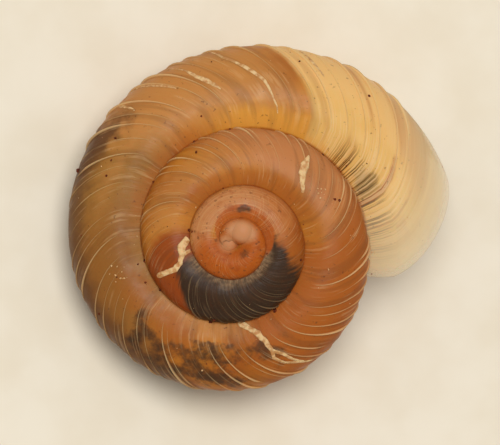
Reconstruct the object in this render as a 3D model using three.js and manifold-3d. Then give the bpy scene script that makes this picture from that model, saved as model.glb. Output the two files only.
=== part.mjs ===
// A small dextral land snail shell: one hollow tube coiling three and a half times round an upright axis,
// each whorl lying on the one before it, with a thin lip round the mouth and an open umbilicus below.
// Millimetres, +Z up. The shell lies as it rests, on its base and lip, apex up and mouth towards +X.
import * as THREE from "three";
import { mergeVertices } from "three/addons/utils/BufferGeometryUtils.js";
import Module from "manifold-3d";

const wasm = await Module();
wasm.setup();

// The coil. "back" says where a growth line lies: the number of turns back from the lip, whose back is 0.
const LIP_RADIUS = 2.83; // from the axis to the periphery of the last whorl, at the lip
const TURNS = 3.5; // whorls from the nucleus to the lip
const GROWTH = 0.425; // how fast the radius falls, going back from the lip, as a natural logarithm per turn
const YOUNG_GROWTH = 0.08; // and how much faster for each turn, because young whorls widen more quickly
const SINK = 0.25; // each whorl's periphery lies this share of its radius below that of the whorl before
const LIP_FLARE = 0.035; // the last stretch of the whorl widens by this share
const FLARE_TURNS = 0.3; // the length of that stretch
const LIP_DIP = 0.12; // the last stretch of the whorl dips by this much, in mm
const DIP_TURNS = 0.35; // the length of that stretch
const LIP_AZIMUTH = 73; // where the lip meets the periphery, in degrees clockwise from +Y, seen from above
const OLDER_WHORLS = 6; // whorls whose sinking adds up to the level of a whorl

// The tube's outline in a half plane through the axis, as shares of the whorl's radius.
const TOP_HEIGHT = 0.27; // highest point, above the periphery
const BASE_HEIGHT = 0.36; // lowest point, below the periphery
const CREST = 0.3; // how far the highest point lies from the suture, as a share of the way to the periphery
const BASE_AXIS = 0.6; // from the axis to the lowest point
const UMBILICUS = 0.2; // radius of the umbilicus at the lip: the share falls as the root of the radius
const SUTURE_FALL = 1.3; // how soon the top falls away inwards from its crest: 2 would be an ellipse

// Growth lines lean: they run ahead above the periphery and lag below it. Degrees about the axis.
const LEAD_AT_TOP = 30;
const LEAD_BEND = 7.5;
const LAG_AT_BASE = 14;
const YOUNG_LEAN = 0.85; // share of that lean on the growth lines far behind the lip
const LEAN_TURNS = 0.3; // turns over which the full lean comes in

// The wall and the hollow.
const WALL = 0.03; // thickness of the wall, as a share of the whorl's radius
const LIP_WALL = 0.012; // the same at the lip
const THINNING_TURNS = 0.3; // turns over which the wall thins to the lip
const CAVITY_TURNS = 0.7; // the hollow starts this many turns after the coil does
const OVERRUN = 0.06; // turns by which the hollow runs out past the lip
const SWELLING_TURNS = 0.35; // turns over which the tube swells to its full girth

// The nucleus is a small dome that caps the start of the coil.
const NUCLEUS_RADIUS = 0.18;
const NUCLEUS_AZIMUTH = 31;
const NUCLEUS_OFFSET = 0.12; // from the axis to the middle of the dome

const STRETCH = 0.25; // the coil is built in stretches of about this many turns
const STEPS = 6; // rings in a stretch
const OUTER_SIDES = 22;
const INNER_SIDES = 18;

// The shell's attitude at rest: its axis leans by this many degrees, towards this azimuth.
const REST_LEAN = 13.5;
const REST_AZIMUTH = 237.5;

const SHELL_BROWN = 0xb4783c;

function whorlRadius(back) {
  const flare = 1 + LIP_FLARE * (1 - THREE.MathUtils.smoothstep(back, 0, FLARE_TURNS));
  return LIP_RADIUS * flare * Math.exp(-(GROWTH + YOUNG_GROWTH * back) * back);
}

// Height of the periphery below the tip of the cone: the sum of what each earlier whorl sank by.
function whorlLevel(back) {
  let level = -LIP_DIP * (1 - THREE.MathUtils.smoothstep(back, 0, DIP_TURNS));
  for (let older = 0; older < OLDER_WHORLS; older++) {
    level -= SINK * whorlRadius(back + older);
  }
  return level;
}

// Degrees by which a growth line leads at a polar angle of the outline.
function growthLead(back, angle) {
  const lean = THREE.MathUtils.lerp(1, YOUNG_LEAN, THREE.MathUtils.smoothstep(back, 0, LEAN_TURNS));
  if (angle > 0) {
    return lean * (LEAD_AT_TOP * Math.sin(angle) - LEAD_BEND * Math.sin(2 * angle));
  }
  return lean * LAG_AT_BASE * Math.sin(angle);
}

// A point of the outline at a polar angle: 0 is the periphery, 90 degrees the top, -90 degrees the base
// and 180 degrees the wall of the umbilicus. All sides are drawn in by the inset.
function outline(back, angle, inset) {
  const suture = whorlRadius(back + 1) / whorlRadius(back);
  const umbilicus = UMBILICUS * Math.sqrt(whorlRadius(back) / LIP_RADIUS);
  const across = Math.cos(angle);
  const axis = angle > 0 ? THREE.MathUtils.lerp(suture, 1, CREST) : BASE_AXIS;
  const reach = across > 0 ? 1 - axis - inset : axis - umbilicus - inset;
  const height = angle > 0 ? TOP_HEIGHT - inset : BASE_HEIGHT - inset;
  const falls = angle > 0 && across < 0;
  const rise = falls ? Math.sqrt(Math.max(0, 1 - Math.pow(-across, SUTURE_FALL))) : Math.sin(angle);
  return new THREE.Vector2(axis + reach * across, height * rise);
}

// The tube swells out of the nucleus like a rounded cap.
function girth(back) {
  const grown = THREE.MathUtils.clamp((TURNS - back) / SWELLING_TURNS, 0, 1);
  return Math.sqrt(1 - (1 - grown) ** 2);
}

function noInset() {
  return 0;
}

function wallInset(back) {
  return THREE.MathUtils.lerp(LIP_WALL, WALL, THREE.MathUtils.smoothstep(back, 0, THINNING_TURNS));
}

// A point on a growth line, at a polar angle, "share" of the way from the tube's middle to its wall.
function tubePoint(line, angle, share, insetAt) {
  const back = line - (share * growthLead(line, angle)) / 360;
  const radius = whorlRadius(back);
  const point = outline(back, angle, insetAt(back));
  const middle = new THREE.Vector2(BASE_AXIS, 0);
  point.lerpVectors(middle, point, share * girth(back));
  const azimuth = THREE.MathUtils.degToRad(LIP_AZIMUTH) - 2 * Math.PI * back;
  const out = radius * point.x;
  const level = whorlLevel(back) + radius * point.y;
  return new THREE.Vector3(out * Math.sin(azimuth), out * Math.cos(azimuth), level);
}

// A closed stretch of tube between two growth lines: a cylinder whose rings become outlines.
function stretchOfTube(older, younger, sides, insetAt) {
  const cylinder = new THREE.CylinderGeometry(1, 1, 1, sides, STEPS);
  const position = cylinder.getAttribute("position");
  for (let i = 0; i < position.count; i++) {
    const line = THREE.MathUtils.lerp(younger, older, position.getY(i) + 0.5);
    const angle = Math.atan2(position.getZ(i), position.getX(i));
    const share = Math.hypot(position.getX(i), position.getZ(i));
    const point = tubePoint(line, angle, share, insetAt);
    position.setXYZ(i, point.x, point.y, point.z);
  }
  return solidOf(cylinder);
}

function nucleus() {
  const dome = new THREE.SphereGeometry(NUCLEUS_RADIUS, 16, 10);
  const azimuth = THREE.MathUtils.degToRad(NUCLEUS_AZIMUTH);
  const across = NUCLEUS_OFFSET * Math.sin(azimuth);
  dome.translate(across, NUCLEUS_OFFSET * Math.cos(azimuth), -NUCLEUS_RADIUS);
  return solidOf(dome);
}

function solidOf(geometry) {
  geometry.deleteAttribute("normal");
  geometry.deleteAttribute("uv");
  const merged = mergeVertices(geometry, 1e-6);
  return new wasm.Manifold(
    new wasm.Mesh({
      numProp: 3,
      vertProperties: merged.getAttribute("position").array,
      triVerts: new Uint32Array(merged.index.array),
    }),
  );
}

// The coil is solid first. Each stretch of the hollow leaves the whorls it lies on whole,
// so an older whorl's wall is also the inner wall of the next one.
function coil() {
  const count = Math.round(TURNS / STRETCH);
  const stretches = [nucleus()];
  const hollows = [];
  for (let i = 0; i < count; i++) {
    const older = TURNS * (1 - i / count);
    const younger = TURNS * (1 - (i + 1) / count);
    stretches.push(stretchOfTube(older, younger, OUTER_SIDES, noInset));
    if (older < TURNS - CAVITY_TURNS) {
      const end = i === count - 1 ? -OVERRUN : younger;
      const hollow = stretchOfTube(older, end, INNER_SIDES, wallInset);
      hollows.push(hollow.subtract(wasm.Manifold.union(stretches.slice(0, i))));
    }
  }
  return largestPart(wasm.Manifold.union(stretches).subtract(wasm.Manifold.union(hollows)));
}

// The older whorls pinch off slivers of the hollow: those are filled.
function largestPart(solid) {
  return solid.decompose().reduce((one, other) => (one.volume() > other.volume() ? one : other));
}

function geometryOf(solid) {
  const mesh = solid.getMesh();
  const geometry = new THREE.BufferGeometry();
  geometry.setAttribute("position", new THREE.BufferAttribute(mesh.vertProperties, 3));
  geometry.setIndex(new THREE.BufferAttribute(mesh.triVerts, 1));
  return geometry;
}

// Lays the shell at rest, with the origin under the middle of its box.
function layAtRest(geometry) {
  const azimuth = THREE.MathUtils.degToRad(REST_AZIMUTH);
  const hinge = new THREE.Vector3(-Math.cos(azimuth), Math.sin(azimuth), 0);
  geometry.applyMatrix4(new THREE.Matrix4().makeRotationAxis(hinge, THREE.MathUtils.degToRad(REST_LEAN)));
  geometry.computeBoundingBox();
  const centre = geometry.boundingBox.getCenter(new THREE.Vector3());
  geometry.translate(-centre.x, -centre.y, -geometry.boundingBox.min.z);
}

const shellGeometry = geometryOf(coil());
layAtRest(shellGeometry);
shellGeometry.computeVertexNormals();
const shell = new THREE.Mesh(
  shellGeometry,
  new THREE.MeshStandardMaterial({ color: SHELL_BROWN, roughness: 0.4, metalness: 0 }),
);
shell.name = "shell";

const group = new THREE.Group();
group.add(shell);

export default group;
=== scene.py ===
import math

import bpy
from mathutils import Matrix, Vector


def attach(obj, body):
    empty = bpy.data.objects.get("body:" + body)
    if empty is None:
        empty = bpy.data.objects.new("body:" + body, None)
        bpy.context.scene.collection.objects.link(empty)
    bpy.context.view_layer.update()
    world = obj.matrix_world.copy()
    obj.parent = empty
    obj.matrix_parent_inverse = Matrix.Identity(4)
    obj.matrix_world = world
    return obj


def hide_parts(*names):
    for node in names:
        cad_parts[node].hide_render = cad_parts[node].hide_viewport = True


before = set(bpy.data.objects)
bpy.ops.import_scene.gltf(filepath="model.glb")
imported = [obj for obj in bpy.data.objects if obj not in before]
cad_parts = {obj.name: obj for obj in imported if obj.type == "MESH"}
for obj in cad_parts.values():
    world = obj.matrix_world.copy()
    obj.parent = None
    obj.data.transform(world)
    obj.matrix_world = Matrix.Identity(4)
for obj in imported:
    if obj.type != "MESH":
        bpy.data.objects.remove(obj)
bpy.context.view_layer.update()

MM = 0.001
COINCIDENT = 1e-7  # points nearer than this are one

# The coil, as in the CAD solid. A growth line is named by its turns back from the lip.
COIL = {
    "Lip radius": 2.83 * MM,
    "Turns": 3.5,
    "Growth": 0.425,
    "Young growth": 0.08,
    "Sink": 0.25,
    "Lip flare": 0.035,
    "Flare turns": 0.3,
    "Lip dip": 0.12 * MM,
    "Dip turns": 0.35,
    "Lip azimuth": math.radians(73),
    "Top height": 0.27,
    "Base height": 0.36,
    "Crest": 0.3,
    "Base axis": 0.6,
    "Umbilicus": 0.2,
    "Suture fall": 1.3,
    "Lead at top": 30 / 360,
    "Lead bend": 7.5 / 360,
    "Lag at base": 14 / 360,
    "Young lean": 0.85,
    "Lean turns": 0.3,
    "Swelling turns": 0.35,
    "Thinnest": 0.004,
}
OLDER_WHORLS = 6  # whorls whose sinking adds up to a whorl's level
REST_LEAN = math.radians(13.5)
REST_AZIMUTH = math.radians(237.5)

# The wall starts here in the umbilicus, and goes round the base and over the top to the suture.
WALL_START = math.radians(-200)
WALL = {
    "Rows": 700,
    "Sides": 48,
    "Wall": 0.03,
    "Lip wall": 0.014,
    "Thinning turns": 0.3,
    "Lip rounding": 0.006,
    "Tuck": 0.045,
    "Row crowding": 1.3,
    "First row": 0.003,
    "Hem": 0.04,
    "Hem from": 0.96,
    "Joined until": 2.25,
    "Free from": 2.5,
    "Swell": 0.0035,
    "Swells a turn": 26.0,
    "Swells until": 2.0,
    "Smooth from": 2.3,
    "Dome segments": 48,
    "Dome rings": 32,
    "Dome turns": 0.4,
    "Nucleus radius": 0.2 * MM,
    "Nucleus height": 0.19 * MM,
    "Nucleus azimuth": math.radians(31),
    "Nucleus offset": 0.165 * MM,
    "Nucleus level": -0.19 * MM,
    "Plug radius": 0.16 * MM,
    "Plug height": 0.13 * MM,
    "Plug azimuth": math.radians(262),
    "Plug offset": 0.11 * MM,
    "Plug level": -0.215 * MM,
}


def is_vector(value):
    return value.socket.type in ("VECTOR", "RGBA") if isinstance(value, Wire) else isinstance(value, tuple)


class Wire:
    """A socket of a node tree. Arithmetic on it adds the Math or Vector Math nodes."""

    def __init__(self, graph, socket):
        self.graph = graph
        self.socket = socket

    def math(self, operation, *others):
        return self.graph.math(operation, self, *others)

    def __add__(self, other):
        return self.math("ADD", other)

    def __radd__(self, other):
        return self.graph.math("ADD", other, self)

    def __sub__(self, other):
        return self.math("SUBTRACT", other)

    def __rsub__(self, other):
        return self.graph.math("SUBTRACT", other, self)

    def __mul__(self, other):
        return self.math("MULTIPLY", other)

    def __rmul__(self, other):
        return self.graph.math("MULTIPLY", other, self)

    def __truediv__(self, other):
        return self.math("DIVIDE", other)

    def __pow__(self, other):
        return self.math("POWER", other)

    def __neg__(self):
        return self.math("MULTIPLY", -1.0)

    def __lt__(self, other):
        return self.math("LESS_THAN", other)

    def __gt__(self, other):
        return self.math("GREATER_THAN", other)


class Graph:
    """A node tree under construction."""

    def __init__(self, tree):
        self.tree = tree

    def node(self, kind, settings=None, sockets=None, output=0):
        made = self.tree.nodes.new(kind)
        for name, value in (settings or {}).items():
            setattr(made, name, value)
        for key, value in (sockets or {}).items():
            self.feed(made.inputs[key], value)
        return Wire(self, made.outputs[output]) if len(made.outputs) else made

    def feed(self, socket, value):
        if isinstance(value, Wire):
            self.tree.links.new(value.socket, socket)
        elif value is not None:
            socket.default_value = value

    def math(self, operation, *values):
        if any(is_vector(value) for value in values):
            return self.vector_math(operation, *values)
        return self.node("ShaderNodeMath", {"operation": operation}, dict(enumerate(values)))

    def vector_math(self, operation, *values):
        one, other = values
        if operation == "MULTIPLY" and not is_vector(other):
            return self.node("ShaderNodeVectorMath", {"operation": "SCALE"}, {0: one, 3: other})
        return self.node("ShaderNodeVectorMath", {"operation": operation}, {0: one, 1: other})

    def sin(self, angle):
        return self.math("SINE", angle)

    def cos(self, angle):
        return self.math("COSINE", angle)

    def exp(self, value):
        return self.math("EXPONENT", value)

    def sqrt(self, value):
        return self.math("SQRT", self.math("MAXIMUM", value, 0.0))

    def ramp(self, value, start, end, low=0.0, high=1.0, kind="SMOOTHSTEP"):
        sockets = {0: value, 1: start, 2: end, 3: low, 4: high}
        return self.node("ShaderNodeMapRange", {"interpolation_type": kind}, sockets)

    def blend(self, share, low, high):
        return low + (high - low) * share

    def window(self, value, low, high, soft):
        """1 between low and high, with soft edges."""
        return self.ramp(value, low - soft, low + soft) * self.ramp(value, high - soft, high + soft, 1.0, 0.0)

    def noise(self, vector, scale, detail=2.0, roughness=0.5):
        sockets = {"Vector": vector, "Scale": scale, "Detail": detail, "Roughness": roughness}
        return self.node("ShaderNodeTexNoise", None, sockets)

    def vector(self, x, y, z):
        return self.node("ShaderNodeCombineXYZ", None, {0: x, 1: y, 2: z})

    def split(self, vector):
        parts = self.node("ShaderNodeSeparateXYZ", None, {0: vector}).socket.node
        return [Wire(self, output) for output in parts.outputs]


class Maker(Graph):
    """A Geometry Nodes tree with a named input for each size."""

    def __init__(self, name, sizes):
        super().__init__(bpy.data.node_groups.new(name, "GeometryNodeTree"))
        self.sizes = sizes
        self.sockets = {}
        interface = self.tree.interface
        interface.new_socket("Geometry", in_out="INPUT", socket_type="NodeSocketGeometry")
        for label, value in sizes.items():
            kind = "NodeSocketInt" if isinstance(value, int) else "NodeSocketFloat"
            self.sockets[label] = interface.new_socket(label, in_out="INPUT", socket_type=kind)
        interface.new_socket("Geometry", in_out="OUTPUT", socket_type="NodeSocketGeometry")
        self.group_input = self.tree.nodes.new("NodeGroupInput")

    def __getitem__(self, label):
        return Wire(self, self.group_input.outputs[label])

    def store(self, geometry, **attributes):
        for name, value in attributes.items():
            vector = isinstance(value, Wire) and value.socket.type == "VECTOR"
            settings = {"data_type": "FLOAT_VECTOR" if vector else "FLOAT", "domain": "POINT"}
            sockets = {"Geometry": geometry, "Name": name, "Value": value}
            geometry = self.node("GeometryNodeStoreNamedAttribute", settings, sockets)
        return geometry

    def named(self, name, kind="FLOAT"):
        return self.node("GeometryNodeInputNamedAttribute", {"data_type": kind}, {"Name": name})

    def random(self, low, high, number, seed):
        sockets = {2: low, 3: high, 7: number, 8: seed}
        return self.node("FunctionNodeRandomValue", {"data_type": "FLOAT"}, sockets, 1)

    def place(self, geometry, position):
        return self.node("GeometryNodeSetPosition", None, {"Geometry": geometry, "Position": position})

    def finish(self, geometry, material):
        """Realizes, merges coincident points, shades smooth and sets the material."""
        solid = self.node("GeometryNodeRealizeInstances", None, {0: geometry})
        solid = self.node("GeometryNodeMergeByDistance", None, {"Geometry": solid, "Distance": COINCIDENT})
        solid = self.node("GeometryNodeSetShadeSmooth", None, {"Geometry": solid})
        solid = self.node("GeometryNodeSetMaterial", None, {"Geometry": solid, "Material": material})
        output = self.tree.nodes.new("NodeGroupOutput")
        self.tree.links.new(solid.socket, output.inputs[0])

    def make(self, name, start=None):
        """Runs the tree on a copy of the start mesh and returns the plain mesh that comes out."""
        worked = bpy.data.objects.new(name, start.copy() if start else bpy.data.meshes.new(name))
        bpy.context.scene.collection.objects.link(worked)
        modifier = worked.modifiers.new(name, "NODES")
        modifier.node_group = self.tree
        for label, value in self.sizes.items():
            modifier[self.sockets[label].identifier] = value
        graph = bpy.context.evaluated_depsgraph_get()
        mesh = bpy.data.meshes.new_from_object(worked.evaluated_get(graph))
        bpy.data.objects.remove(worked)
        mesh.name = name
        while mesh.materials[0] is None:
            mesh.materials.pop(index=0)
        return mesh


# --- the coil's surface, as maths on growth lines ---

def lip_flare(g, line):
    return 1.0 + g["Lip flare"] * g.ramp(line, 0.0, g["Flare turns"], 1.0, 0.0)


def whorl_radius(g, line):
    shrinking = g.exp((g["Growth"] + g["Young growth"] * line) * line * -1.0)
    return g["Lip radius"] * lip_flare(g, line) * shrinking


def whorl_level(g, line):
    total = whorl_radius(g, line)
    for older in range(1, OLDER_WHORLS):
        total = total + whorl_radius(g, line + float(older))
    dip = g["Lip dip"] * g.ramp(line, 0.0, g["Dip turns"], 1.0, 0.0)
    return -(g["Sink"] * total + dip)


def suture_share(g, line):
    return g.exp((g["Growth"] + g["Young growth"] * (line * 2.0 + 1.0)) * -1.0) / lip_flare(g, line)


def crest_share(g, line):
    suture = suture_share(g, line)
    return suture + (1.0 - suture) * g["Crest"]


def umbilicus_share(g, line):
    return g["Umbilicus"] * g.sqrt(whorl_radius(g, line) / g["Lip radius"])


def growth_lead(g, line, angle):
    above = g.sin(angle) > 0.0
    lean = g.ramp(line, 0.0, g["Lean turns"], 1.0, g["Young lean"])
    top = g["Lead at top"] * g.sin(angle) - g["Lead bend"] * g.sin(angle * 2.0)
    base = g["Lag at base"] * g.sin(angle)
    return lean * g.blend(above, base, top)


def outline(g, line, angle, inset):
    """The tube's outline at a polar angle, in shares of the whorl's radius: out from the axis, and up."""
    across, up = g.cos(angle), g.sin(angle)
    above, inside = up > 0.0, across < 0.0
    axis = g.blend(above, g["Base axis"], crest_share(g, line))
    reach = g.blend(inside, 1.0 - axis, axis - umbilicus_share(g, line)) - inset
    height = g.blend(above, g["Base height"], g["Top height"]) - inset
    falling = g.sqrt(1.0 - g.math("MAXIMUM", -across, 0.0) ** g["Suture fall"])
    rise = g.blend(above * inside, up, falling)
    return axis + reach * across, height * rise


def coil_point(g, line, angle, inset):
    back = line - growth_lead(g, line, angle)
    out, up = outline(g, back, angle, inset)
    grown = g.math("MAXIMUM", (g["Turns"] - back) / g["Swelling turns"], g["Thinnest"])
    grown = g.math("MINIMUM", grown, 1.0)
    girth = g.sqrt(1.0 - (1.0 - grown) * (1.0 - grown))
    radius = whorl_radius(g, back)
    out = radius * (g["Base axis"] + (out - g["Base axis"]) * girth)
    azimuth = g["Lip azimuth"] - back * math.tau
    return g.vector(out * g.sin(azimuth), out * g.cos(azimuth), whorl_level(g, back) + radius * up * girth)


def across_share(g, line, angle):
    """0 at the suture, 1 at the periphery and 2 in the umbilicus."""
    out, up = outline(g, line, angle, 0.0)
    suture, umbilicus = suture_share(g, line), umbilicus_share(g, line)
    top = (out - suture) / (1.0 - suture)
    base = 2.0 - (out - umbilicus) / (1.0 - umbilicus)
    share = g.blend(g.sin(angle) > 0.0, base, top)
    return g.blend(angle < -math.pi, share, 2.0)


def suture_angle(g, line, tuck):
    """The polar angle at which the top meets the whorl before, and a little more to tuck it in."""
    axis = crest_share(g, line)
    past = (axis - suture_share(g, line) + tuck) / (axis - umbilicus_share(g, line))
    return g.math("ARCCOSINE", -past)


def dome_centre(g, name, level):
    out, azimuth = g[name + " offset"], g[name + " azimuth"]
    return g.vector(out * g.sin(azimuth), out * g.cos(azimuth), level)


def dome(g, name):
    """A flattened ball that closes the start of the coil."""
    radius = g[name + " radius"]
    sockets = {"Segments": g["Dome segments"], "Rings": g["Dome rings"], "Radius": radius}
    ball = g.node("GeometryNodeMeshUVSphere", None, sockets)
    ball = g.store(ball, turn=g["Turns"] - g["Dome turns"], across=0.5, inside=0.0)
    x, y, z = g.split(g.node("GeometryNodeInputPosition"))
    flat = g.vector(x, y, z * g[name + " height"] / radius)
    return g.place(ball, flat + dome_centre(g, name, g[name + " level"]))


def from_tip(g, name):
    """How far a point lies from the top of a dome, seen from above: along X and along Y."""
    tip = dome_centre(g, name, g[name + " level"] + g[name + " height"])
    x, y, _ = g.split(g.node("GeometryNodeInputPosition") - tip)
    return x, y


# The painted highlight on the cap of the nucleus is longer one way. Lengths are in shares of the dome's
# radius.
CAP_LONG_WAY = (0.96, -0.28)
CAP_LENGTHENING = 0.6
CAP_NARROWING = 1.3
CAP_FADE = (0.5, 1.05)
PLUG_FADE = (0.4, 1.0)
PLUG_PALENESS = 0.8


def painted_tip_highlights(g):
    """1 on the tips of the nucleus and of the plug beside it, less outwards: a painted highlight."""
    x, y = from_tip(g, "Nucleus")
    east, north = CAP_LONG_WAY
    along, across = x * east + y * north, x * -north + y * east
    reach = g.sqrt(along * along * CAP_LENGTHENING + across * across * CAP_NARROWING)
    start, end = (g["Nucleus radius"] * share for share in CAP_FADE)
    cap = g.ramp(reach, start, end, 1.0, 0.0)
    x, y = from_tip(g, "Plug")
    start, end = (g["Plug radius"] * share for share in PLUG_FADE)
    return g.math("MAXIMUM", cap, g.ramp(g.sqrt(x * x + y * y), start, end, PLUG_PALENESS, 0.0))


def grow_wall(material):
    """The wall's outer and inner faces in one sheet that closes on itself, and the two domes at its start."""
    g = Maker("shell wall", {**COIL, **WALL})
    columns = g["Sides"] * 2.0 + 1.0
    sockets = {"Size X": 1.0, "Size Y": 1.0, "Vertices X": g["Rows"], "Vertices Y": columns}
    grid = g.node("GeometryNodeMeshGrid", None, sockets)
    along, around, _ = g.split(g.node("GeometryNodeInputPosition"))
    line = g["Turns"] * (0.5 - along) ** g["Row crowding"]
    inner = around > 0.0
    share = 1.0 - g.math("ABSOLUTE", around * 2.0)
    free = g.ramp(line, g["Joined until"], g["Free from"])
    end = g.blend(free, suture_angle(g, line, g["Tuck"]), WALL_START + math.tau)
    angle = WALL_START + (end - WALL_START) * share
    wall = g.ramp(line, 0.0, g["Thinning turns"], g["Lip wall"], g["Wall"])
    rounding = g.sqrt(1.0 - g.ramp(line, 0.0, g["Lip rounding"], 1.0, 0.0, "LINEAR") ** 2.0)
    hem = g.ramp(share, 0.0, g["Hem"]) * g.ramp(share, g["Hem from"], 1.0, 1.0, 0.0)
    hollow = g["Turns"] - line > g["First row"]
    sockets = {"W": line, "Scale": g["Swells a turn"], "Detail": 3.0}
    pulse = g.node("ShaderNodeTexNoise", {"noise_dimensions": "1D"}, sockets)
    swell = (pulse - 0.5) * g["Swell"] * g.ramp(line, g["Swells until"], g["Smooth from"], 1.0, 0.0)
    inset = inner * wall * rounding * hem * hollow - swell
    position = coil_point(g, line, angle, inset)
    grid = g.store(grid, turn=line, across=across_share(g, line, angle), inside=inner)
    coil = g.node("GeometryNodeFlipFaces", None, {0: g.place(grid, position)})
    joined = g.node("GeometryNodeJoinGeometry", None, {0: coil})
    for name in ("Nucleus", "Plug"):
        g.tree.links.new(dome(g, name).socket, joined.socket.node.inputs[0])
    # painted highlight on the tips of the nucleus and the plug
    joined = g.store(joined, glow=painted_tip_highlights(g))
    g.finish(joined, material)
    return g.make("shell_wall")


# --- what grows on the wall ---

RIBS = {
    "Count": 118,
    "First": 0.045,
    "Step": 7.4 / 360,
    "Crowding": 3.25e-5,
    "Jitter": 0.006,
    "Rib height": 0.038 * MM,
    "Rib half width": 0.019 * MM,
    "Sunk": 0.15,
    "Root": 0.3,
    "Least width": 0.55,
    "Added width": 0.45,
    "Bare share": 0.85,
    "Least by the lip": 0.7,
    "Least elsewhere": 0.25,
    "Least patch": 0.15,
    "Points along": 48,
    "Points round": 9,
    "Seed": 5,
}
RIB_START = math.radians(-170)
# Growth lines from and to, and softness.
RIBBED = (0.05, 1.9, 0.03)
BARE = (1.5, 1.62, 0.02)
# Shares of a rib's length from and to, and softness.
RIB_SPAN = (0.06, 0.93, 0.06)
RIB_SHOULDER = (0.42, 0.86, 0.14)
RIB_TAPER = 0.02


def grow_ribs(material):
    """Raised growth lines, from the umbilicus over the periphery to the suture."""
    g = Maker("ribs", {**COIL, **RIBS})
    rows = g.node("GeometryNodePoints", None, {"Count": g["Count"]})
    rows = g.store(rows, number=g.node("GeometryNodeInputIndex"))
    sockets = {"Size X": 1.0, "Size Y": 1.0, "Vertices X": g["Points along"], "Vertices Y": g["Points round"]}
    strip = g.node("GeometryNodeMeshGrid", None, sockets)
    ribs = g.node("GeometryNodeInstanceOnPoints", None, {"Points": rows, "Instance": strip})
    ribs = g.node("GeometryNodeRealizeInstances", None, {0: ribs})
    x, y, _ = g.split(g.node("GeometryNodeInputPosition"))
    number, along, round_ = g.named("number"), x + 0.5, (y + 0.5) * math.tau
    jitter = g.random(-1.0, 1.0, number, g["Seed"]) * g["Jitter"]
    line = g["First"] + number * (g["Step"] - number * g["Crowding"]) + jitter
    angle = RIB_START + (suture_angle(g, line, 0.0) - RIB_START) * along
    least = g.ramp(line, 0.3, 0.4, g["Least by the lip"], g["Least elsewhere"])
    bare = g.window(line, *BARE) * g["Bare share"]
    boldness = g.random(least, 1.0, number, g["Seed"] + 1.0) * (1.0 - bare)
    boldness = boldness * g.window(line, *RIBBED)
    patchy = g.noise(g.vector(number * 3.7, along * 3.5, 0.5), 1.0)
    ends = g.window(along, *RIB_SPAN)
    shoulder = g.blend(g.window(along, *RIB_SHOULDER), 0.5, 1.0)
    strength = boldness * ends * shoulder * g.ramp(patchy, 0.34, 0.56, g["Least patch"], 1.0)
    radius = whorl_radius(g, line)
    young = g.sqrt(radius / g["Lip radius"])
    crest = g.math("MAXIMUM", g.sin(round_), 0.0)
    root = g.math("MAXIMUM", -g.sin(round_), 0.0) * g.ramp(g.math("ABSOLUTE", x), 0.5, 0.5 - RIB_TAPER)
    rise = strength * crest * crest * (1.0 + g["Sunk"]) - g["Sunk"] - root * g["Root"]
    lift = g["Rib height"] * young * rise
    aside = g["Rib half width"] * young * (g["Least width"] + g["Added width"] * strength) * g.cos(round_)
    position = coil_point(g, line + aside / (radius * math.tau), angle, -(lift / radius))
    ridge = strength * g.ramp(crest, 0.3, 0.95)
    ribs = g.store(ribs, turn=line, across=across_share(g, line, angle), inside=0.0, ridge=ridge)
    g.finish(g.place(ribs, position), material)
    return g.make("ribs")


# Old breaks healed with chalk.
# Each point: turns back from the lip, degrees round the outline, half width in mm.
SCARS = [
    [(1.52, 106, 0.05), (1.545, 96, 0.062), (1.566, 94, 0.04), (1.58, 88, 0.036), (1.58, 75, 0.04),
     (1.562, 57, 0.036), (1.545, 38, 0.04), (1.54, 32, 0.02)],
    [(1.56, 106, 0.02), (1.563, 100, 0.03), (1.568, 93, 0.02)],
    [(0.784, 108, 0.03), (0.79, 104, 0.05), (0.802, 99, 0.03), (0.812, 94, 0.045), (0.815, 85, 0.035),
     (0.808, 70, 0.03)],
    [(0.808, 70, 0.03), (0.811, 60, 0.022), (0.806, 46, 0.02), (0.803, 30, 0.016)],
    [(0.808, 70, 0.03), (0.798, 60, 0.022), (0.796, 47, 0.02), (0.801, 36, 0.02), (0.803, 16, 0.014)],
    [(1.116, 36, 0.012), (1.128, 55, 0.06), (1.134, 68, 0.05), (1.131, 78, 0.035), (1.123, 88, 0.014)],
    [(0.303, 6, 0.014), (0.303, 22, 0.03), (0.303, 40, 0.034), (0.304, 54, 0.01)],
    [(0.325, 0, 0.01), (0.331, 22, 0.028), (0.34, 43, 0.01)],
    [(0.274, 12, 0.008), (0.275, 36, 0.014), (0.279, 50, 0.03), (0.278, 60, 0.034), (0.277, 72, 0.01)],
    [(0.23, 2, 0.014), (0.238, 32, 0.022), (0.234, 50, 0.026), (0.229, 66, 0.02), (0.231, 84, 0.012),
     (0.229, 94, 0.006)],
    [(0.16, 10, 0.012), (0.162, 30, 0.026), (0.161, 46, 0.008)],
]
SCAR = {
    "Points": 70,
    "Facets": 10,
    "Flatness": 0.8,
    "Least ragged": 0.78,
    "Ragged": 0.44,
    "Ragged scale": 9000.0,
    "Crumble": 0.022 * MM,
    "Crumble scale": 16000.0,
}


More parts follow.
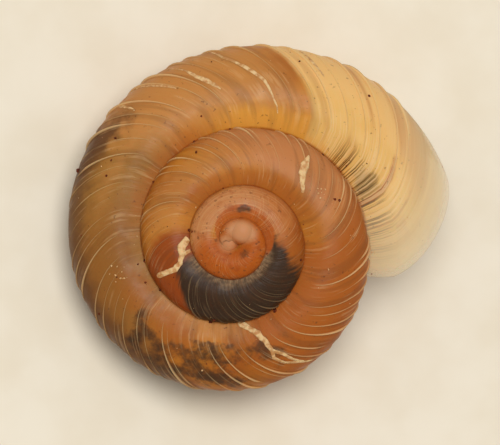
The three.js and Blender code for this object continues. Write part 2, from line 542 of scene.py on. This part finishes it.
def grow_scars(material):
    """A flattened, crumbling tube along each route."""
    g = Maker("healed breaks", {**COIL, **SCAR})
    start = bpy.data.meshes.new("scar routes")
    points = [(line, math.radians(angle), width) for route in SCARS for line, angle, width in route]
    ends = [sum(len(route) for route in SCARS[:i + 1]) for i in range(len(SCARS))]
    edges = [(i, i + 1) for i in range(len(points) - 1) if i + 1 not in ends]
    start.from_pydata(points, edges, [])
    routes = g.node("GeometryNodeMeshToCurve", None, {0: Wire(g, g.group_input.outputs[0])})
    routes = g.node("GeometryNodeResampleCurve", None, {"Curve": routes, "Count": g["Points"]})
    line, angle, width = g.split(g.node("GeometryNodeInputPosition"))
    centre = coil_point(g, line, angle, 0.0)
    above = coil_point(g, line, angle, -0.01)
    outward = g.node("ShaderNodeVectorMath", {"operation": "NORMALIZE"}, {0: above - centre})
    ragged = g["Least ragged"] + g.noise(centre, g["Ragged scale"], 3.0) * g["Ragged"]
    routes = g.store(routes, width=width * ragged * MM, outward=outward, centre=centre)
    routes = g.place(routes, g.named("centre", "FLOAT_VECTOR"))
    circle = g.node("GeometryNodeCurvePrimitiveCircle", None, {"Resolution": g["Facets"], "Radius": 1.0})
    sockets = {"Curve": routes, "Profile Curve": circle, "Scale": g.named("width"), "Fill Caps": True}
    scars = g.node("GeometryNodeCurveToMesh", None, sockets)
    place = g.node("GeometryNodeInputPosition")
    outward = g.named("outward", "FLOAT_VECTOR")
    aside = place - g.named("centre", "FLOAT_VECTOR")
    rise = g.node("ShaderNodeVectorMath", {"operation": "DOT_PRODUCT"}, {0: aside, 1: outward}, 1)
    crumble = (g.noise(place, g["Crumble scale"], 3.0) - 0.5) * g["Crumble"]
    normal = g.node("GeometryNodeInputNormal")
    scars = g.place(scars, place - outward * (rise * g["Flatness"]) + normal * crumble)
    g.finish(scars, material)
    return g.make("healed_breaks", start)


# Loose grains, in numbers per square metre.
GRIT = {
    "Along sutures": 20e6,
    "Elsewhere": 1.6e6,
    "Smallest": 0.004 * MM,
    "Largest": 0.02 * MM,
    "Roughness": 0.016 * MM,
    "Seed": 11,
}
# Pale flecks of dust, which also stand as painted glints on the surface.
FLECKS_AND_GLINTS = {
    "Along sutures": 6e6,
    "Elsewhere": 3e6,
    "Smallest": 0.004 * MM,
    "Largest": 0.013 * MM,
    "Roughness": 0.02 * MM,
    "Seed": 29,
}
LUMP = {
    "Roughness": 0.04 * MM,
    "Seed": 3,
}
# The largest grains. Each: turns back from the lip, degrees round the outline, half width in mm.
LUMPS = [
    (0.162, 105, 0.022), (0.517, 106, 0.024), (0.563, 105, 0.029), (0.471, 105, 0.019), (1.492, 107, 0.019),
    (0.62, 105, 0.021), (0.73, 105, 0.024), (0.86, 104, 0.027), (0.345, 104, 0.018), (0.29, 104, 0.016),
    (1.926, 26, 0.019), (1.671, 20, 0.021), (2.436, 30, 0.014), (0.395, 12, 0.029), (0.115, 38, 0.019),
    (1.05, 50, 0.021), (1.06, 56, 0.016), (0.38, 52, 0.016), (0.41, 62, 0.014), (1.30, 42, 0.016),
]
# Pale crystalline crumbs, in two clusters.
CRUMBS = [
    (0.545, 77, 0.012), (0.552, 83, 0.009), (0.558, 78, 0.014), (0.562, 86, 0.008), (0.567, 82, 0.012),
    (0.571, 85, 0.016), (0.56, 90, 0.007), (0.55, 72, 0.008), (0.564, 75, 0.007), (0.574, 89, 0.008),
    (1.094, 72, 0.01), (1.089, 68, 0.008), (1.086, 73, 0.011), (1.083, 66, 0.009), (1.08, 71, 0.012),
    (1.083, 60, 0.01), (1.091, 64, 0.006), (1.097, 68, 0.007),
]


SUTURE_BAND = (0.01, 0.07, 0.02)
TOP_BAND = (0.1, 1.1, 0.05)
GRAIN_NOISE = 40000.0


def grains_on(g, points, size, fineness):
    """A small ball on each point."""
    ball = g.node("GeometryNodeMeshIcoSphere", None, {"Radius": 1.0, "Subdivisions": fineness})
    grains = g.node("GeometryNodeInstanceOnPoints", None, {"Points": points, "Instance": ball, "Scale": size})
    return g.node("GeometryNodeRealizeInstances", None, {0: grains})


def roughened(g, place):
    """A place moved at random, to make a ball an irregular grain."""
    noise = g.node("ShaderNodeTexNoise", None, {"Vector": place, "Scale": GRAIN_NOISE, "Detail": 1.0}, 1)
    return place + (noise - (0.5, 0.5, 0.5)) * g["Roughness"]


def scatter(name, sizes, material, wall):
    """Strews grains over the wall, thickest along the sutures."""
    g = Maker(name, sizes)
    across, inside = g.named("across"), g.named("inside")
    seam, top = g.window(across, *SUTURE_BAND), g.window(across, *TOP_BAND)
    density = (seam * g["Along sutures"] + top * g["Elsewhere"]) * (1.0 - inside)
    settings = {"distribute_method": "RANDOM"}
    sockets = {"Mesh": Wire(g, g.group_input.outputs[0]), "Density": density, "Seed": g["Seed"]}
    points = g.node("GeometryNodeDistributePointsOnFaces", settings, sockets)
    luck = g.random(0.0, 1.0, g.node("GeometryNodeInputIndex"), g["Seed"])
    grains = grains_on(g, points, g.blend(luck * luck * luck, g["Smallest"], g["Largest"]), 1)
    g.finish(g.place(grains, roughened(g, g.node("GeometryNodeInputPosition"))), material)
    return g.make(name, wall)


def place_lumps(name, lumps, material):
    """A grain at each place of a list."""
    g = Maker(name, {**COIL, **LUMP})
    start = bpy.data.meshes.new("lump places")
    start.from_pydata([(line, math.radians(angle), width) for line, angle, width in lumps], [], [])
    line, angle, width = g.split(g.node("GeometryNodeInputPosition"))
    points = g.node("GeometryNodeMeshToPoints", None, {0: Wire(g, g.group_input.outputs[0])})
    points = g.store(points, width=width * MM, centre=coil_point(g, line, angle, 0.0))
    points = g.place(points, g.named("centre", "FLOAT_VECTOR"))
    grains = grains_on(g, points, (1.0, 1.0, 1.0), 2)
    centre = g.named("centre", "FLOAT_VECTOR")
    aside = g.node("GeometryNodeInputPosition") - centre
    g.finish(g.place(grains, roughened(g, centre + aside * g.named("width"))), material)
    return g.make(name, start)


def resting_pose(*meshes):
    """Leans the coil's axis as it rests and stands the meshes' box on the origin."""
    hinge = Vector((-math.cos(REST_AZIMUTH), math.sin(REST_AZIMUTH), 0))
    lean = Matrix.Rotation(REST_LEAN, 4, hinge)
    points = [lean @ vertex.co for mesh in meshes for vertex in mesh.vertices]
    low = Vector([min(p[i] for p in points) for i in range(3)])
    high = Vector([max(p[i] for p in points) for i in range(3)])
    centre = (low + high) / 2
    return Matrix.Translation((-centre.x, -centre.y, -low.z)) @ lean


def piece(name, mesh, pose):
    """Puts a mesh in its place and lets it ride with the shell."""
    mesh.transform(pose)
    made = bpy.data.objects.new(name, mesh)
    bpy.context.scene.collection.objects.link(made)
    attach(made, "root")
    return made


def paint(red, green, blue):
    """A colour as mixed on a palette, 0 to 255, for a shader."""
    return (*(((part / 255 + 0.055) / 1.055) ** 2.4 for part in (red, green, blue)), 1.0)


class Finish(Graph):
    """A material's node tree."""

    def __init__(self, name, **constants):
        self.material = bpy.data.materials.new(name)
        self.material.use_nodes = True
        super().__init__(self.material.node_tree)
        self.shader = self.tree.nodes["Principled BSDF"]
        for label, value in constants.items():
            self.shader.inputs[label.replace("_", " ")].default_value = value

    def place(self):
        return self.node("ShaderNodeTexCoord", None, None, 3)

    def attribute(self, name):
        return self.node("ShaderNodeAttribute", {"attribute_name": name}, None, 2)

    def tint(self, share, under, over):
        return self.node("ShaderNodeMix", {"data_type": "RGBA"}, {0: share, 6: under, 7: over}, 2)

    def bump(self, height, distance, strength=1.0):
        sockets = {"Height": height, "Distance": distance, "Strength": strength}
        return self.node("ShaderNodeBump", None, sockets)

    def streaks(self, turn, across, a_turn, a_width, start, detail=2.0):
        """Noise drawn out along or across the growth lines. start tells one pattern from another."""
        return self.noise(self.vector(turn * a_turn, across * a_width, start), 1.0, detail)

    def drive(self, **wires):
        """Feeds the shader's sockets and returns the material."""
        for label, wire in wires.items():
            self.feed(self.shader.inputs[label.replace("_", " ")], wire)
        return self.material


AMBER = paint(160, 90, 30)
HONEY = paint(186, 116, 38)
GOLD = paint(214, 148, 58)
COPPER = paint(164, 88, 32)
STRAW_LIT_THROUGH = paint(222, 174, 96)
PEACH_LIT_THROUGH = paint(230, 182, 114)
FAWN = paint(188, 128, 68)
PAINTED_SHEEN_PINK = paint(188, 122, 74)
OLIVE = paint(152, 106, 48)
UMBER = paint(86, 52, 28)
RUST = paint(140, 60, 18)
ORANGE = paint(174, 82, 20)
SOOT = paint(52, 38, 26)
DUST_AND_SHEEN_GREY = paint(158, 126, 92)
CREAM = paint(226, 186, 132)
PAINTED_HIGHLIGHT_PINK = paint(200, 140, 96)
INK = paint(60, 34, 18)
BLUSH = paint(178, 104, 52)
BARK = paint(134, 80, 32)
PARCHMENT = paint(238, 214, 166)
DARK_SOIL = paint(56, 26, 16)
RED_SOIL = paint(128, 54, 26)
DULL_CARD = paint(229, 217, 194)
BRIGHT_CARD = paint(235, 225, 205)

# Stains in the wall, with some painted sheen and painted light through the thin lip among them. Each: colour,
# growth lines from and to, across from and to, softness of both, strength.
STAINS = [
    (FAWN, (0.2, 0.4), (0.2, 1.2), (0.03, 0.2), 0.85),
    (GOLD, (0.14, 0.31), (-0.3, 0.3), (0.05, 0.14), 0.9),
    (OLIVE, (0.385, 0.64), (-0.3, 1.3), (0.035, 0.1), 0.9),
    (BARK, (0.47, 0.62), (0.15, 1.2), (0.05, 0.12), 0.6),
    (COPPER, (0.33, 0.5), (-0.3, 0.16), (0.04, 0.1), 0.5),
    (UMBER, (0.35, 0.66), (0.8, 1.3), (0.03, 0.14), 0.7),
    (UMBER, (0.35, 0.405), (0.74, 1.2), (0.015, 0.08), 0.75),
    # painted sheen: a pale streak along the middle of the last whorl
    (FAWN, (0.28, 0.46), (0.46, 0.62), (0.06, 0.1), 0.5),
    (FAWN, (0.64, 0.8), (-0.2, 0.22), (0.04, 0.1), 0.6),
    (AMBER, (0.57, 0.68), (0.1, 0.5), (0.03, 0.1), 0.6),
    (RUST, (0.74, 0.8), (0.5, 1.2), (0.03, 0.1), 0.4),
    (COPPER, (0.79, 1.03), (-0.3, 1.3), (0.03, 0.1), 0.9),
    # painted sheen on the upper slope of the penultimate whorl
    (PAINTED_SHEEN_PINK, (1.03, 1.26), (0.4, 1.3), (0.05, 0.16), 0.85),
    (COPPER, (1.1, 1.38), (-0.1, 0.3), (0.05, 0.1), 0.6),
    (FAWN, (1.26, 1.5), (0.35, 0.8), (0.05, 0.15), 0.5),
    (RUST, (1.5, 1.72), (-0.2, 1.2), (0.02, 0.1), 0.9),
    (RUST, (1.76, 2.05), (0.3, 1.2), (0.04, 0.15), 0.65),
    (BLUSH, (2.03, 2.2), (0.2, 1.2), (0.05, 0.12), 0.9),
    # painted sheen where the young whorl's crest catches the light, outside its shoulder
    (PAINTED_SHEEN_PINK, (2.16, 2.56), (0.2, 0.95), (0.06, 0.12), 0.9),
    (ORANGE, (2.5, 3.6), (-0.3, 1.2), (0.06, 0.1), 0.9),
    (UMBER, (2.83, 2.93), (-0.1, 0.24), (0.03, 0.08), 0.6),
    # pale thin lip, made brighter with painted light shining through the empty last whorl
    (PEACH_LIT_THROUGH, (-0.2, 0.187), (0.45, 1.3), (0.004, 0.2), 0.95),
    (STRAW_LIT_THROUGH, (-0.2, 0.19), (-0.3, 0.62), (0.004, 0.18), 0.95),
    (GOLD, (0.1, 0.2), (-0.3, 0.08), (0.04, 0.07), 0.7),
    (COPPER, (0.084, 0.09), (-0.2, 0.55), (0.002, 0.1), 0.95),
    (COPPER, (0.055, 0.058), (-0.2, 0.6), (0.0015, 0.1), 0.55),
    (FAWN, (0.03, 0.05), (0.33, 0.46), (0.004, 0.03), 0.5),
    (SOOT, (0.09, 0.118), (0.06, 0.28), (0.008, 0.06), 0.6),
]


# Where the other markings are. Each: growth lines, or across, from and to, and softness.
CRESCENT = (1.585, 2.09, 0.016)
SHOULDER_RING = (1.97, 2.5, 0.03)
DARK_SLIT, DARK_SLIT_ACROSS = (2.2, 2.275, 0.012), (-0.2, -0.05, 0.04)
MOTTLED, MOTTLED_ACROSS = (0.55, 0.88, 0.04), (0.25, 1.15, 0.12)
CROWDED, CROWDED_ACROSS = (0.6, 0.735, 0.02), (0.45, 0.9, 0.1)
BESIDE, BESIDE_ACROSS = (0.725, 0.83, 0.02), (0.28, 0.62, 0.08)
BARRED_ACROSS = (0.62, 1.3, 0.14)
ETCHED = (0.02, 0.15, 0.015)
TURNING = (2.05, 2.5, 0.05)
YOUNG_LIP = (0.16, 0.2)
OLDEST = (1.95, 2.15)
PALE_EDGE = 0.11
CLEAR_EDGE = (0.004, 0.08)
CLEAREST_EDGE = 0.014

# Scales of the noises, from wide clouds to single specks.
CLOUD, BLOT, WISP, BLOTCH, SPECK = 1500.0, 2600.0, 5000.0, 8000.0, 21000.0


def stain(f, colour, line, across, shape):
    """Lays one stain over a colour."""
    over, lines, width, soft, strength = shape
    share = f.window(line, *lines, soft[0]) * f.window(across, *width, soft[1]) * strength
    return f.tint(share, colour, over)


def dark_crescent(f, turn, across, line, width, speck):
    """Dark matter inside the young whorl that shows through, with grey dust and a painted sheen where it
    meets the older one.
    """
    reach = f.ramp(line, 1.57, 1.67, 0.4, 1.3) * f.ramp(line, 1.79, 2.12, 1.0, 0.1)
    streaky = width + (f.streaks(turn, across, 90.0, 1.5, 4.0) - 0.5) * 0.5
    crescent = f.window(line, *CRESCENT) * f.ramp(streaky - reach, -0.2, 0.12, 1.0, 0.0)
    threads = f.ramp(f.streaks(turn, across, 170.0, 1.5, 0.0), 0.4, 0.62, 0.35, 1.0)
    grainy = threads * 0.6 + f.ramp(speck, 0.35, 0.65) * 0.5
    # grey dust and painted sheen along the edge by the older whorl, brightest at the suture
    dust_and_sheen = crescent * f.ramp(width, -0.02, 0.26, 1.0, 0.0) * grainy
    return crescent, dust_and_sheen


def young_shoulder(f, turn, across, line, width):
    """An orange ring of painted shade in the groove inside the shoulder of the young whorl, and a dark slit
    in it.
    """
    brow = 0.42 - (line - 2.22) * (line - 2.22) * 5.5
    ring = f.ramp(across - brow, -0.03, 0.03, 1.0, 0.0) * f.window(turn, *SHOULDER_RING)
    slit = f.window(line, *DARK_SLIT) * f.window(width - brow, *DARK_SLIT_ACROSS)
    return ring, slit


def soil_mottles(f, place, line, width):
    """Ragged mottles of soil seen through the last whorl, crowded in two places."""
    crowded = f.window(line, *CROWDED) * f.window(width, *CROWDED_ACROSS) * 0.19
    beside = f.window(line, *BESIDE) * f.window(width, *BESIDE_ACROSS) * 0.17
    blots = f.noise(place, BLOT, 6.0, 0.65) * 0.92 + crowded + beside
    return blots * f.window(line, *MOTTLED) * f.window(width, *MOTTLED_ACROSS)


def lip_lines(f, colour, turn, across, wisp):
    """Copper bars on the flank of the lip, and fine dark and pale lines that comb it from the suture."""
    on_lip = f.ramp(turn, *YOUNG_LIP, 1.0, 0.0)
    bars = f.ramp(f.streaks(turn, across, 52.0, 0.7, 9.0), 0.47, 0.6)
    colour = f.tint(bars * f.window(across, *BARRED_ACROSS) * on_lip * 0.45, colour, COPPER)
    hair = f.noise(f.vector(turn * 600.0, across * 0.9 + wisp * 0.3, 7.0), 1.0)
    by_suture = f.ramp(across, 0.08, 0.42, 1.0, 0.0)
    etched = f.ramp(hair, 0.5, 0.57) * by_suture * f.window(turn, *ETCHED)
    colour = f.tint(etched * 0.85, colour, INK)
    combed = f.ramp(hair, 0.47, 0.38) * f.ramp(across, 0.3, 0.8, 1.0, 0.35) * on_lip
    return f.tint(combed * 0.6, colour, CREAM)


def shell_finish():
    """Horn-brown wall with stains, painted sheen, shade and highlights, dark matter inside, growth lines and
    a pale thin lip with painted light shining through.
    """
    f = Finish("horn_brown_shell", Subsurface_Weight=0.1, Subsurface_Scale=0.0002, Specular_IOR_Level=0.12)
    place = f.place()
    turn, across, inside, ridge = (f.attribute(name) for name in ("turn", "across", "inside", "ridge"))
    cloud = f.noise(place, CLOUD, 3.0)
    wisp = f.noise(place, WISP, 4.0)
    speck = f.noise(place, SPECK, 3.0)
    line = turn + ((cloud - 0.5) * 0.05 + (wisp - 0.5) * 0.03) * f.ramp(turn, 0.2, 0.3, 0.1, 1.0)
    width = across + (wisp - 0.5) * 0.3
    colour = f.tint(f.ramp(cloud, 0.35, 0.65), AMBER, HONEY)
    for shape in STAINS:
        colour = stain(f, colour, line, width, shape)

    crescent, dust_and_sheen = dark_crescent(f, turn, across, line, width, speck)
    colour = f.tint(crescent * 0.97, colour, SOOT)
    # grey dust and painted sheen at the edge of the crescent
    colour = f.tint(dust_and_sheen * 0.95, colour, DUST_AND_SHEEN_GREY)
    ring, slit = young_shoulder(f, turn, across, line, width)
    # painted shade: deeper orange in the groove inside the young shoulder
    colour = f.tint(ring * 0.85, colour, ORANGE)
    colour = f.tint(slit * 0.85, colour, SOOT)
    blots = soil_mottles(f, place, line, width)
    colour = f.tint(f.ramp(blots, 0.5, 0.66) * 0.75, colour, UMBER)
    colour = f.tint(f.ramp(blots, 0.6, 0.74) * 0.7, colour, SOOT)

    # growth lines everywhere, then those of the lip
    fine = f.streaks(turn, across, 230.0, 1.4, cloud * 2.0)
    coarse = f.streaks(turn, across, 62.0, 0.9, 3.0, 3.0)
    showing = f.ramp(f.noise(place, BLOT, 3.0), 0.42, 0.66) * (1.0 - crescent * 0.6)
    colour = f.tint(f.ramp(fine, 0.54, 0.66) * showing * 0.22, colour, CREAM)
    banded = f.ramp(coarse, 0.5, 0.36) * f.ramp(turn, 1.9, 2.05, 0.25, 0.06)
    colour = f.tint(banded, colour, f.tint(f.ramp(turn, *YOUNG_LIP, 1.0, 0.0), UMBER, COPPER))
    colour = lip_lines(f, colour, turn, across, wisp)

    # lines that run with the oldest whorls, rusty seams, blotches, specks, the pale crests and the painted
    # highlight on the tips
    turning = f.streaks(turn, across, 2.0, 45.0, 1.0)
    colour = f.tint(f.ramp(turning, 0.5, 0.64) * f.window(turn, *TURNING) * 0.16, colour, CREAM)
    seam = f.ramp(across, 0.0, 0.035, 1.0, 0.0) * f.ramp(wisp, 0.35, 0.6, 0.4, 1.0)
    colour = f.tint(seam * f.ramp(turn, 1.9, 2.3, 1.0, 0.2) * 0.7, colour, RUST)
    oldest = f.ramp(turn, *OLDEST)
    blotched = f.ramp(f.noise(place, BLOTCH, 4.0), 0.5, 0.7) * oldest
    colour = f.tint(blotched * 0.4, colour, RUST)
    colour = f.tint(f.ramp(speck + oldest * 0.045, 0.66, 0.73) * 0.55, colour, UMBER)
    colour = f.tint(ridge * (0.8 - crescent * 0.6), colour, CREAM)
    # painted highlight on the tips of the nucleus and the plug
    colour = f.tint(f.attribute("glow") * 0.85, colour, PAINTED_HIGHLIGHT_PINK)

    # the mouth: paler and thinner to its edge
    edge = f.ramp(turn, 0.0, PALE_EDGE, 1.0, 0.0)
    colour = f.tint(edge * 0.8, colour, PARCHMENT)
    colour = f.tint(inside * 0.5, colour, PARCHMENT)
    alpha = 1.0 - f.ramp(turn, *CLEAR_EDGE, 0.6, 0.0) - f.ramp(turn, 0.0, CLEAREST_EDGE, 0.2, 0.0)

    relief = fine * 0.35 + coarse * 0.5 + wisp * 0.3 + speck * 0.15
    normal = f.bump(relief, 0.012 * MM, 0.8)
    dull = f.ramp(wisp, 0.3, 0.7, 0.3, 0.5) + dust_and_sheen * 0.3 + ridge * 0.15
    return f.drive(Base_Color=colour, Roughness=dull, Normal=normal, Alpha=alpha)


def chalk_finish():
    """Crumbly cream chalk."""
    f = Finish("chalk_repair", Subsurface_Weight=0.1, Subsurface_Scale=0.0001)
    grainy = f.noise(f.place(), 14000.0, 4.0)
    colour = f.tint(f.ramp(grainy, 0.35, 0.62), FAWN, CREAM)
    normal = f.bump(grainy, 0.02 * MM)
    return f.drive(Base_Color=colour, Roughness=f.ramp(grainy, 0.3, 0.7, 0.55, 0.9), Normal=normal)


def grit_finish():
    """Dark red-brown grains of soil."""
    f = Finish("dark_soil_grit", Specular_IOR_Level=0.1)
    grainy = f.noise(f.place(), 40000.0, 3.0)
    colour = f.tint(f.ramp(grainy, 0.35, 0.65), DARK_SOIL, RED_SOIL)
    dull = f.ramp(grainy, 0.3, 0.7, 0.3, 0.7)
    return f.drive(Base_Color=colour, Roughness=dull, Normal=f.bump(grainy, 0.008 * MM))


def card_finish():
    """Plain cream card, faintly cloudy."""
    f = Finish("cream_card")
    cloud = f.noise(f.place(), 900.0, 3.0)
    colour = f.tint(f.ramp(cloud, 0.3, 0.7), DULL_CARD, BRIGHT_CARD)
    return f.drive(Base_Color=colour, Roughness=f.ramp(cloud, 0.3, 0.7, 0.8, 0.95))


VIEW_DISTANCE = 150 * MM
VIEW_WIDTH = 6.7 * MM
VIEW_LEAN = Vector((0.038, 0.024, 1.0))
VIEW_CENTRE = Vector((0.197, 0.265, 0.0)) * MM
CLIP_START = 1 * MM
CLIP_END = 1000 * MM


def set_camera(pose):
    """Looks down the coil's axis through a long lens."""
    towards = (pose.to_3x3() @ VIEW_LEAN).normalized()
    across = (pose.to_3x3() @ Vector((1, 0, 0))).normalized()
    up = towards.cross(across).normalized()
    across = up.cross(towards)
    camera = bpy.data.objects.new("camera", bpy.data.cameras.new("camera"))
    camera.data.lens = camera.data.sensor_width * VIEW_DISTANCE / VIEW_WIDTH
    camera.data.clip_start, camera.data.clip_end = CLIP_START, CLIP_END
    place = pose @ VIEW_CENTRE + towards * VIEW_DISTANCE
    turn = Matrix((across, up, towards)).transposed().to_4x4()
    camera.matrix_world = Matrix.Translation(place) @ turn
    bpy.context.scene.collection.objects.link(camera)
    bpy.context.scene.camera = camera


FLOOR_REACH = 80 * MM
SKY_COLOUR = (1, 0.98, 0.95, 1)
SKY_STRENGTH = 0.42
WINDOW_PLACE = (-0.012, 0.028, 0.25)
WINDOW_SIZE = 0.13
WINDOW_POWER = 0.43


def set_stage():
    reach = FLOOR_REACH
    mesh = bpy.data.meshes.new("floor")
    corners = [(-reach, -reach, 0), (reach, -reach, 0), (reach, reach, 0), (-reach, reach, 0)]
    mesh.from_pydata(corners, [], [(0, 1, 2, 3)])
    mesh.materials.append(card_finish())
    floor = bpy.data.objects.new("floor", mesh)
    bpy.context.scene.collection.objects.link(floor)


def set_lights():
    """An even sky, and a round window high above the camera that leaves only soft shadows."""
    world = bpy.data.worlds.new("studio")
    world.use_nodes = True
    sky = world.node_tree.nodes["Background"]
    sky.inputs["Color"].default_value = SKY_COLOUR
    sky.inputs["Strength"].default_value = SKY_STRENGTH
    bpy.context.scene.world = world
    light = bpy.data.lights.new("window", "AREA")
    light.shape = "DISK"
    light.size = WINDOW_SIZE
    light.energy = WINDOW_POWER
    window = bpy.data.objects.new("window", light)
    window.location = WINDOW_PLACE
    window.rotation_mode = "QUATERNION"
    window.rotation_quaternion = Vector(WINDOW_PLACE).to_track_quat("Z", "Y")
    bpy.context.scene.collection.objects.link(window)


bpy.context.scene.view_settings.view_transform = "Standard"
shell = shell_finish()
chalk = chalk_finish()
grit = grit_finish()
wall_mesh = grow_wall(shell)
ribs_mesh = grow_ribs(shell)
pose = resting_pose(wall_mesh, ribs_mesh)
set_camera(pose)
set_stage()
set_lights()
grit_mesh = scatter("grit", GRIT, grit, wall_mesh)
# pale flecks of dust and painted glints
fleck_and_glint_mesh = scatter("chalk_flecks", FLECKS_AND_GLINTS, chalk, wall_mesh)
wall = piece("shell_wall", wall_mesh, pose)
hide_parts("shell")
piece("ribs", ribs_mesh, pose)
piece("healed_breaks", grow_scars(chalk), pose)
piece("grit", grit_mesh, pose)
# pale flecks of dust and painted glints
piece("chalk_flecks", fleck_and_glint_mesh, pose)
piece("soil_lumps", place_lumps("soil_lumps", LUMPS, grit), pose)
piece("crumbs", place_lumps("crumbs", CRUMBS, chalk), pose)
